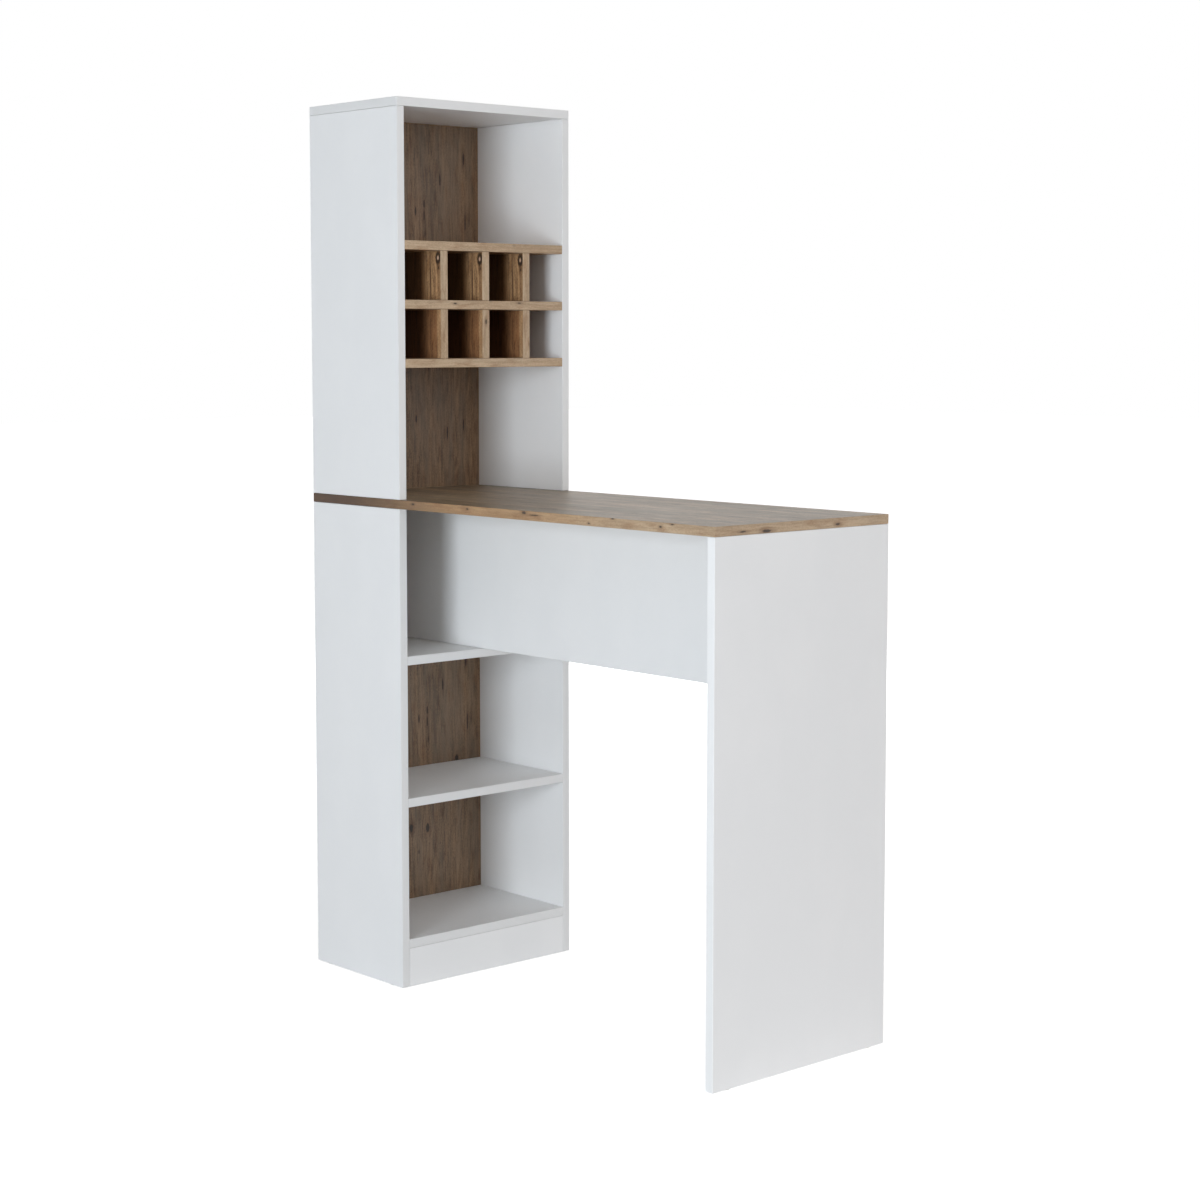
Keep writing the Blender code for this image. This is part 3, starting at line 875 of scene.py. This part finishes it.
def turned(profile, steps=BENCH_STEPS, turn=FULL_TURN):
    """Spins an outline of (radius, height) points round Z."""
    shape = bmesh.new()
    points = [shape.verts.new((radius, 0, height)) for radius, height in profile]
    for pair in zip(points, points[1:]):
        shape.edges.new(pair)
    bmesh.ops.spin(
        shape,
        geom=shape.verts[:] + shape.edges[:],
        cent=(0, 0, 0),
        axis=(0, 0, 1),
        angle=turn,
        steps=steps,
        use_merge=turn == FULL_TURN,
    )
    bmesh.ops.remove_doubles(shape, verts=shape.verts, dist=MERGE)
    if turn != FULL_TURN:
        bmesh.ops.holes_fill(shape, edges=shape.edges)
    bmesh.ops.recalc_face_normals(shape, faces=shape.faces)
    return shape


def soften(shape, offset):
    """Rounds each rim."""
    rims = [e for e in shape.edges if len(e.link_faces) == 2 and e.calc_face_angle() > SHARP]
    bevel_edges(shape, rims, offset)


def from_bench(shape, name, at, axis, materials, side=None):
    """Turns Z towards axis, and X towards side, moves the origin to at, and makes the piece."""
    axis = Vector(axis)
    side = Vector(side) if side else axis.orthogonal().normalized()
    turn = Matrix((side, axis.cross(side), axis)).transposed()
    bmesh.ops.transform(shape, matrix=Matrix.Translation(at) @ turn.to_4x4(), verts=shape.verts)
    made = finish_piece(name + "_finished", shape, materials, name)
    made.data.shade_smooth()
    made.data.set_sharp_from_angle(angle=SHARP)
    return made


def ends_along(name, axis):
    """The middle of the lower and of the upper end of a node's box, along an axis."""
    low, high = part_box(name)
    ends = [(low + high) / 2, (low + high) / 2]
    ends[0][axis] = low[axis]
    ends[1][axis] = high[axis]
    return ends


# %% [markdown]
# Four finishes cover the hardware. Zinc plate is bright and a little blue or yellow in patches.
# Cast zinc is duller, with a fine grain from the mould. The dowels are beech, with short dark
# flecks. The glides are a plain white plastic with a faint orange-peel skin.

# %% Hardware materials
PATCHES_IN_A_METRE, PATCH_FADE, PATCH_DULLNESS = 260, (0.35, 0.65), 0.2
SKIN_STRENGTH = 0.4


def metal_material(name, bright, dull, roughness, grain, depth):
    made, tree, shader = new_material(name)
    here = place(tree, "ShaderNodeTexCoord").outputs["Object"]
    patches = noise(tree, here, [PATCHES_IN_A_METRE] * 3, detail=3.0)
    finish = {
        "Base Color": mix_colours(tree, fade(tree, patches, *PATCH_FADE), (*dull, 1), (*bright, 1)),
        "Roughness": math_node(tree, "MULTIPLY_ADD", patches, PATCH_DULLNESS, roughness),
        "Metallic": 1.0,
        "Normal": bump(tree, noise(tree, here, [grain] * 3), SKIN_STRENGTH, depth),
    }
    feed(tree, shader, finish)
    return made


def beech_material():
    made, tree, shader = new_material("beech")
    here = place(tree, "ShaderNodeUVMap", uv_map="decor").outputs["UV"]
    tone = fade(tree, noise(tree, here, (60, 900, 0), detail=3.0), 0.3, 0.7)
    colour = mix_colours(tree, tone, (0.50, 0.31, 0.18, 1), (0.68, 0.47, 0.30, 1))
    flecks = fade(tree, noise(tree, here, (500, 2600, 0), detail=1.0), 0.62, 0.7)
    flecks = times(tree, flecks, 0.7)
    finish = {
        "Base Color": mix_colours(tree, flecks, colour, (0.27, 0.14, 0.07, 1)),
        "Roughness": 0.7,
        "Normal": bump(tree, tone, SKIN_STRENGTH, 0.0001),
    }
    feed(tree, shader, finish)
    return made


plated_steel = metal_material(
    "zinc_plated_steel", (0.72, 0.73, 0.74), (0.60, 0.60, 0.55), 0.22, 1500, 0.00002
)
cast_zinc = metal_material("cast_zinc", (0.56, 0.56, 0.57), (0.44, 0.44, 0.45), 0.36, 2400, 0.00006)
glide_plastic = coated_material(
    "glide_plastic", (0.80, 0.80, 0.77), (0.76, 0.76, 0.73), 0.42, 0.00003
)
beech = beech_material()
print("hardware finishes:", plated_steel.name, cast_zinc.name, glide_plastic.name, beech.name)

# %% [markdown]
# A thread is a ridge that climbs as it goes round. The shank is spun with many rings, and then each
# vertex is drawn in by how far it lies from the crest of that ridge: height over pitch, less the
# share of the turn, gives the place within one turn of the thread.

# %% Threads and flutes
RINGS_IN_A_PITCH = 6


def shank_with_rings(radius, low, high, pitch):
    """Points up a shank, close enough together to carry a thread."""
    count = round((high - low) / pitch * RINGS_IN_A_PITCH)
    return [(radius, low + (high - low) * number / count) for number in range(count + 1)]


def cut_thread(shape, low, high, pitch, depth):
    for vertex in shape.verts:
        radius = vertex.co.xy.length
        if radius < depth or not low < vertex.co.z < high:
            continue
        turn = math.atan2(vertex.co.y, vertex.co.x) / FULL_TURN
        within = (vertex.co.z / pitch - turn) % 1.0
        drawn_in = depth * abs(2 * within - 1)
        vertex.co.x *= 1 - drawn_in / radius
        vertex.co.y *= 1 - drawn_in / radius


def cut_flutes(shape, count, depth):
    for vertex in shape.verts:
        radius = vertex.co.xy.length
        if radius > depth:
            turn = math.atan2(vertex.co.y, vertex.co.x)
            share = 1 - depth * (0.5 + 0.5 * math.cos(count * turn)) / radius
            vertex.co.x *= share
            vertex.co.y *= share


# %% [markdown]
# The furniture screws are driven with a hexagon key. The head starts as an open ring; a hexagon of
# edges is laid in it, bridged to the ring, and its edges are extruded down to make the socket.

# %% Screws
SCREW_HEAD, SCREW_SHANK, SCREW_THREAD = 0.005, 0.0035, 0.0026
SCREW_RIM, SCREW_HEAD_DEPTH, SCREW_SHANK_END, SCREW_TIP = 0.001, 0.003, 0.012, 0.004
SCREW_PITCH, SCREW_THREAD_DEPTH, SCREW_ROUNDING = 0.0030, 0.0007, 0.0003
SOCKET, SOCKET_DEPTH = 0.0023, 0.0025


def push_down(shape, extruded, depth):
    """Moves the new vertices of an extrusion down, and gives them back."""
    moved = [item for item in extruded if isinstance(item, bmesh.types.BMVert)]
    bmesh.ops.translate(shape, vec=(0, 0, -depth), verts=moved)
    return moved


def sink_socket(shape, radius, depth):
    rim = [edge for edge in shape.edges if edge.is_boundary]
    hexagon = bmesh.ops.create_circle(shape, cap_ends=False, segments=6, radius=radius)["verts"]
    mouth = list({edge for vertex in hexagon for edge in vertex.link_edges})
    bmesh.ops.bridge_loops(shape, edges=rim + mouth)
    walls = bmesh.ops.extrude_edge_only(shape, edges=mouth)["geom"]
    bmesh.ops.contextual_create(shape, geom=push_down(shape, walls, depth))
    bmesh.ops.recalc_face_normals(shape, faces=shape.faces)


def screw(name, head_up):
    low_end, high_end = ends_along(name, Z)
    length = high_end.z - low_end.z
    thread_low, thread_high = SCREW_TIP - length, -SCREW_SHANK_END
    profile = [(0, -length), (SCREW_THREAD / 3, -length)]
    profile += shank_with_rings(SCREW_THREAD, thread_low, thread_high, SCREW_PITCH)
    profile += [
        (SCREW_SHANK, -SCREW_SHANK_END + SCREW_THREAD_DEPTH),
        (SCREW_SHANK, -SCREW_HEAD_DEPTH),
        (SCREW_HEAD, -SCREW_RIM),
        (SCREW_HEAD, -SCREW_ROUNDING),
        (SCREW_HEAD - SCREW_ROUNDING, 0),
    ]
    shape = turned(profile)
    cut_thread(shape, thread_low - SCREW_PITCH, thread_high, SCREW_PITCH, SCREW_THREAD_DEPTH)
    sink_socket(shape, SOCKET, SOCKET_DEPTH)
    head = high_end if head_up else low_end
    return from_bench(shape, name, head, (0, 0, 1 if head_up else -1), [plated_steel])


screws = []
for side in ("left", "right"):
    for end in ("front", "rear"):
        screws.append(screw(f"top_screw_{side}_{end}", head_up=True))
        screws.append(screw(f"worktop_screw_{side}_{end}", head_up=False))
print("screws:", len(screws), "with", len(screws[0].data.polygons), "faces each")

# %% [markdown]
# A cam lock is a small cast drum. Two discs are joined by part of a wall, whose gap lets the bolt's
# head in; a quarter turn with a screwdriver draws the bolt tight. The lid has a thin rim that covers
# the edge of the drilled hole. The cross recess is made by cutting the lid's face along the cross
# with planes, and pushing the cross-shaped bit down. Extruding keeps the faces it started from, so
# these are deleted, or they would lie over the recess. A small raised arrow shows where the mouth is.

# %% Cams
CAM_MOUTH = math.radians(122)
CAM_WALL = 0.002
CAM_LID, CAM_FLOOR = 0.0054, 0.0016
RIM_REACH, RIM_HEIGHT, RIM_GAP = 0.0009, 0.0005, 0.00003
ARROW_TIP, ARROW_TOP, ARROW_HEIGHT = 0.0013, 0.0010, 0.0006
ARROW_INSET = 1.4 * ARROW_TIP
CROSS_LENGTH, CROSS_WIDTH, CROSS_DEPTH = 0.008, 0.0014, 0.0018
CAST_EDGE = 0.00015


def sink_cross(shape, length, width, depth):
    def lid_faces(test):
        top = [f for f in shape.faces if f.normal.z > 0.99 and abs(f.calc_center_median().z) < NEAR]
        return [f for f in top if test(f)]

    def cut(faces, axis, at):
        normal = unit(axis)
        geometry = {part for f in faces for part in (f, *f.edges, *f.verts)}
        bmesh.ops.bisect_plane(
            shape, geom=list(geometry), dist=MERGE, plane_co=normal * at, plane_no=normal
        )

    def within(face, axis, reach):
        return abs(face.calc_center_median()[axis]) < reach

    for axis in (X, Y):
        for at in (-width / 2, width / 2):
            cut(lid_faces(lambda f: True), axis, at)
    for axis in (X, Y):
        for at in (-length / 2, length / 2):
            cut(lid_faces(lambda f: within(f, 1 - axis, width / 2)), axis, at)
    cross = lid_faces(
        lambda f: any(within(f, a, width / 2) and within(f, 1 - a, length / 2) for a in (X, Y))
    )
    sunk = bmesh.ops.extrude_face_region(shape, geom=cross)["geom"]
    bmesh.ops.delete(shape, geom=cross, context="FACES_ONLY")
    push_down(shape, sunk, depth)


def cam(name, axis, sign, towards_bolt):
    """The drum's face looks along the axis, to the side that sign gives."""
    ends = ends_along(name, axis)
    lift = RIM_HEIGHT + RIM_GAP
    height = ends[1][axis] - ends[0][axis] + lift
    low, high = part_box(name)
    across = Y if axis == X else X
    radius = (high[across] - low[across]) / 2
    lid_outline = [
        (0, -CAM_LID),
        (radius, -CAM_LID),
        (radius, -RIM_HEIGHT),
        (radius + RIM_REACH, -RIM_HEIGHT),
        (radius + RIM_REACH, 0),
        (0, 0),
    ]
    shape = turned(lid_outline)
    bmesh.ops.dissolve_limit(shape, angle_limit=FLAT, verts=shape.verts, edges=shape.edges)
    soften(shape, CAST_EDGE)
    sink_cross(shape, CROSS_LENGTH, CROSS_WIDTH, CROSS_DEPTH)

    base = turned([(0, -height), (radius, -height), (radius, CAM_FLOOR - height), (0, CAM_FLOOR - height)])
    wall_outline = [
        (radius - CAM_WALL, CAM_FLOOR - height),
        (radius, CAM_FLOOR - height),
        (radius, -CAM_LID),
        (radius - CAM_WALL, -CAM_LID),
        (radius - CAM_WALL, CAM_FLOOR - height),
    ]
    wall = turned(wall_outline, BENCH_STEPS, FULL_TURN - CAM_MOUTH)
    bmesh.ops.rotate(
        wall, cent=(0, 0, 0), matrix=Matrix.Rotation(CAM_MOUTH / 2, 3, "Z"), verts=wall.verts
    )
    arrow = bmesh.new()
    bmesh.ops.create_cone(
        arrow,
        cap_ends=True,
        segments=3,
        radius1=ARROW_TIP,
        radius2=ARROW_TOP,
        depth=ARROW_HEIGHT,
        matrix=Matrix.Translation((radius - ARROW_INSET, 0, 0)),
    )
    for part in (base, wall, arrow):
        joined = bpy.data.meshes.new("part")
        part.to_mesh(joined)
        part.free()
        shape.from_mesh(joined)
        bpy.data.meshes.remove(joined)
    face_end = ends[1] if sign > 0 else ends[0]
    direction = sign * unit(axis)
    top = face_end + direction * lift
    return from_bench(shape, name, top, direction, [cast_zinc], towards_bolt)


cams = [
    cam("cabinet_cam_left", Y, 1, (0, 0, 1)),
    cam("cabinet_cam_right", Y, -1, (0, 0, 1)),
    cam("leg_cam_left", X, -1, (0, 0, 1)),
    cam("leg_cam_right", X, -1, (0, 0, 1)),
    cam("apron_cam", Y, 1, (1, 0, 0)),
]
print("cams:", len(cams), "with", len(cams[0].data.polygons), "faces each")

# %% [markdown]
# The cam's bolt has a thread for the board it is screwed into, a thicker shaft, a thin neck that
# the cam's wall grips, and a round head. A dowel is a rod with chamfered ends, whose flutes let the
# glue spread. A glide is a flat button with a rounded sole, moulded round the head of a nail.

# %% Bolts, dowels and glides
BOLT_THREAD, BOLT_SHAFT, BOLT_NECK, BOLT_HEAD = 0.003, 0.0035, 0.002, 0.003
BOLT_THREAD_LENGTH, BOLT_SHAFT_LENGTH, BOLT_HEAD_LENGTH = 0.011, 0.0159, 0.003
BOLT_PITCH, BOLT_THREAD_DEPTH, BOLT_THREAD_START = 0.0022, 0.0006, 0.0005
BOLT_TIP, BOLT_STEP, BOLT_ROUNDING = 0.002, 0.0003, 0.0006
DOWEL, DOWEL_CHAMFER, DOWEL_FLUTES, FLUTE_DEPTH = 0.004, 0.001, 16, 0.0003
GLIDE_NAIL, NAIL_LENGTH, NAIL_POINT = 0.0011, 0.014, 0.002
GLIDE_SOLE = [(0.0020, 0), (0.0012, 0.0001), (0.0004, 0.0006), (0, 0.0013)]
GLIDE_RIM = 0.0002


def bolt(name, axis, sign):
    """The head is at the end of the axis that sign gives."""
    ends = ends_along(name, axis)
    length = ends[1][axis] - ends[0][axis]
    tail, head = (ends[0], ends[1]) if sign > 0 else (ends[1], ends[0])
    direction = (head - tail).normalized()
    neck_end = length - BOLT_HEAD_LENGTH
    profile = [(0, 0), (BOLT_THREAD / 2, 0)]
    profile += shank_with_rings(BOLT_THREAD, BOLT_TIP, BOLT_THREAD_LENGTH, BOLT_PITCH)
    profile += [
        (BOLT_SHAFT, BOLT_THREAD_LENGTH + BOLT_STEP),
        (BOLT_SHAFT, BOLT_THREAD_LENGTH + BOLT_SHAFT_LENGTH),
        (BOLT_NECK, BOLT_THREAD_LENGTH + BOLT_SHAFT_LENGTH + BOLT_STEP),
        (BOLT_NECK, neck_end),
        (BOLT_HEAD, neck_end),
        (BOLT_HEAD, length - BOLT_ROUNDING),
        (BOLT_HEAD - BOLT_ROUNDING, length),
        (0, length),
    ]
    shape = turned(profile)
    cut_thread(shape, BOLT_THREAD_START, BOLT_THREAD_LENGTH, BOLT_PITCH, BOLT_THREAD_DEPTH)
    return from_bench(shape, name, tail, direction, [plated_steel])


def dowel(name, axis):
    start, end = ends_along(name, axis)
    length = end[axis] - start[axis]
    profile = [
        (0, 0),
        (DOWEL - DOWEL_CHAMFER, 0),
        (DOWEL, DOWEL_CHAMFER),
        (DOWEL, length - DOWEL_CHAMFER),
        (DOWEL - DOWEL_CHAMFER, length),
        (0, length),
    ]
    shape = turned(profile, 4 * DOWEL_FLUTES)
    cut_flutes(shape, DOWEL_FLUTES, FLUTE_DEPTH)
    layer = shape.loops.layers.uv.new("decor")
    for face in shape.faces:
        turn_here = math.atan2(face.calc_center_median().y, face.calc_center_median().x)
        for loop in face.loops:
            turn = math.atan2(loop.vert.co.y, loop.vert.co.x)
            turn += FULL_TURN * round((turn_here - turn) / FULL_TURN)
            loop[layer].uv = (loop.vert.co.z, turn * DOWEL)
    return from_bench(shape, name, start, unit(axis), [beech])


def glide(name):
    low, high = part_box(name)
    foot, _ = ends_along(name, Z)
    radius = (high.x - low.x) / 2
    height = high.z - low.z
    seat = height - NAIL_LENGTH
    profile = [(0, 0)]
    profile += [(radius - inwards, upwards) for inwards, upwards in GLIDE_SOLE]
    profile += [
        (radius, seat - GLIDE_RIM),
        (radius - GLIDE_RIM, seat),
        (GLIDE_NAIL, seat),
        (GLIDE_NAIL, height - NAIL_POINT),
        (0, height),
    ]
    shape = turned(profile)
    for face in shape.faces:
        middle = face.calc_center_median()
        on_nail = middle.xy.length < GLIDE_NAIL and middle.z > seat
        face.material_index = 1 if on_nail else 0
    return from_bench(shape, name, foot, (0, 0, 1), [glide_plastic, plated_steel])


bolts = [
    bolt("cabinet_cam_bolt_left", Z, -1),
    bolt("cabinet_cam_bolt_right", Z, -1),
    bolt("leg_cam_bolt_left", Z, -1),
    bolt("leg_cam_bolt_right", Z, -1),
    bolt("apron_cam_bolt", X, -1),
]
dowels = [dowel(f"rack_dowel_1_{column}", Z) for column in (1, 2, 3)]
for board_name in ("bottom_panel", "mid_shelf", "upper_shelf", "rack_board_1", "rack_board_3"):
    dowels += [dowel(f"{board_name}_dowel_{side}", Y) for side in ("left", "right")]
glides = [glide(name) for name in nodes if name.startswith("glide_")]
print("bolts:", len(bolts), "dowels:", len(dowels), "glides:", len(glides))

# %% [markdown]
# ## Floor, backdrop and light
#
# The photograph is cut out on white. A pale floor keeps a soft shadow under the table, and both the
# floor and the world show white to the camera and to reflections only, so that no extra light falls
# on the object for it. Far from the table the floor gets less lamp light, so its own white grows
# with the distance; that hides the line where the floor ends.

# %% Floor
FLOOR_SIZE = 60.0
NEAR_REACH, FAR_REACH = 1.2, 4.5
WHITE_NEAR, WHITE_FAR = 0.72, 0.9

floor_material, tree, shader = new_material("studio_floor")
ray = place(tree, "ShaderNodeLightPath").outputs
seen = math_node(tree, "MAXIMUM", ray["Is Camera Ray"], ray["Is Glossy Ray"])
from_table = vector_node(tree, "LENGTH", place(tree, "ShaderNodeTexCoord").outputs["Object"])
own_white = fade(tree, from_table, NEAR_REACH, FAR_REACH, WHITE_NEAR, WHITE_FAR)
finish = {
    "Base Color": (0.86, 0.86, 0.86, 1),
    "Roughness": 1.0,
    "Specular IOR Level": 0.0,
    "Emission Color": (1, 1, 1, 1),
    "Emission Strength": times(tree, seen, own_white),
}
feed(tree, shader, finish)

flat = bmesh.new()
bmesh.ops.create_grid(flat, x_segments=1, y_segments=1, size=FLOOR_SIZE / 2)
floor = object_of(flat, "floor", [floor_material])
print("floor:", FLOOR_SIZE, "m wide")

# %% [markdown]
# The world is the room's own light: a little from all round, and more from the side that the
# cabinet's open face looks at. In a world, Generated is the direction in which a ray leaves.

# %% World
FILL_LIGHT = 0.06
FRONT_LIGHT = 1.06
FILL_COLOUR = (1.0, 0.965, 0.95, 1)

world = bpy.data.worlds.new("studio_world")
world.use_nodes = True
bpy.context.scene.world = world
sky = world.node_tree
ray = place(sky, "ShaderNodeLightPath").outputs
seen = math_node(sky, "MAXIMUM", ray["Is Camera Ray"], ray["Is Glossy Ray"])
seen = math_node(sky, "MAXIMUM", seen, ray["Is Transmission Ray"])
direction = place(sky, "ShaderNodeTexCoord").outputs["Generated"]
forward = place(sky, "ShaderNodeSeparateXYZ", {"Vector": direction}).outputs["X"]
room = math_node(sky, "MULTIPLY_ADD", math_node(sky, "MAXIMUM", forward, 0.0), FRONT_LIGHT, FILL_LIGHT)
colour = mix_colours(sky, seen, FILL_COLOUR, (1, 1, 1, 1))
strength = place(sky, "ShaderNodeMix", {"Factor": seen, "A": room, "B": 1.0}).outputs["Result"]
feed(sky, sky.nodes["Background"], {"Color": colour, "Strength": strength})
print("room light:", FILL_LIGHT, "all round and", FRONT_LIGHT, "more from the front")

# %% [markdown]
# The main light is a window six metres off on the sitter's side, a little in front of the cabinet.
# It hardly reaches into the rack, which makes the bottle places dark. A soft screen lights the rear
# for whoever walks round the table. Both are kept out of reflections, because they would shine in
# the worktop. `bearing` is the angle from the front (+X) towards the sitter's side (-Y).

# %% Lamps
LIT_POINT = Vector((-0.1, 0.0, 0.95))


def soft_lamp(name, bearing, distance, height, size, power, colour):
    data = bpy.data.lights.new(name, "AREA")
    data.shape = "RECTANGLE"
    data.size, data.size_y = size
    data.energy = power
    data.color = colour
    lamp = bpy.data.objects.new(name, data)
    angle = math.radians(bearing)
    lamp.location = (
        LIT_POINT.x + distance * math.cos(angle),
        LIT_POINT.y - distance * math.sin(angle),
        height,
    )
    lamp.rotation_euler = (LIT_POINT - lamp.location).to_track_quat("-Z", "Y").to_euler()
    lamp.visible_camera = False
    lamp.visible_glossy = False
    bpy.context.scene.collection.objects.link(lamp)
    return lamp


window = soft_lamp(
    "window",
    bearing=64.5,
    distance=6.0,
    height=1.0,
    size=(1.6, 2.4),
    power=209,
    colour=(0.87, 0.94, 1.0),
)
rear_screen = soft_lamp(
    "rear_screen",
    bearing=230,
    distance=5.5,
    height=1.8,
    size=(2.5, 2.4),
    power=120,
    colour=(0.97, 0.98, 1.0),
)
bpy.context.scene.view_settings.view_transform = "Standard"
print("lamps:", window.name, rear_screen.name)
